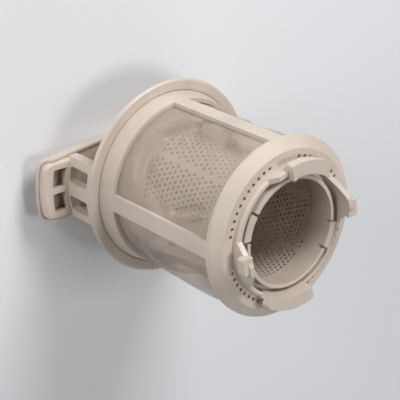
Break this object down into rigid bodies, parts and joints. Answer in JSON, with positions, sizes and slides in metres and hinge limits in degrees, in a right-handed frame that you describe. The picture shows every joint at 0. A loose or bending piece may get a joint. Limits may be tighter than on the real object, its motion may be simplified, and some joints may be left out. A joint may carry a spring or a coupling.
{
  "type": "washer pump filter",
  "caption": "Cylindrical drain filter: a perforated cup with flange and bridge handle inside a ribbed cage with a fine mesh sleeve and a quarter-turn bayonet end.",
  "frame": {"origin": "middle of the flat back of the handle, on the floor it stands on, under the filter's axis", "axes": "+Z along the filter's axis from the handle to the bayonet end, +X along the handle towards its near end in the picture"},
  "size_m": [0.109, 0.086, 0.1114],
  "materials": {
    "cap_plastic": "satin moulded, warm beige grey",
    "strainer_plastic": "satin moulded, warm beige grey",
    "cage_plastic": "satin moulded, warm beige grey",
    "mesh_cloth": "fine translucent woven plastic mesh, beige"
  },
  "bodies": {
    "strainer_body": {"strainer": "strainer_plastic", "handle_cap": "cap_plastic"},
    "micro_filter": {"cage": "cage_plastic", "mesh_sleeve": "mesh_cloth"}
  },
  "joints": [
    {"name": "filter_pull", "type": "slide", "parent": "strainer_body", "child": "micro_filter", "axis": [0, 0, 1], "range_m": [0, 0.085]}
  ]
}
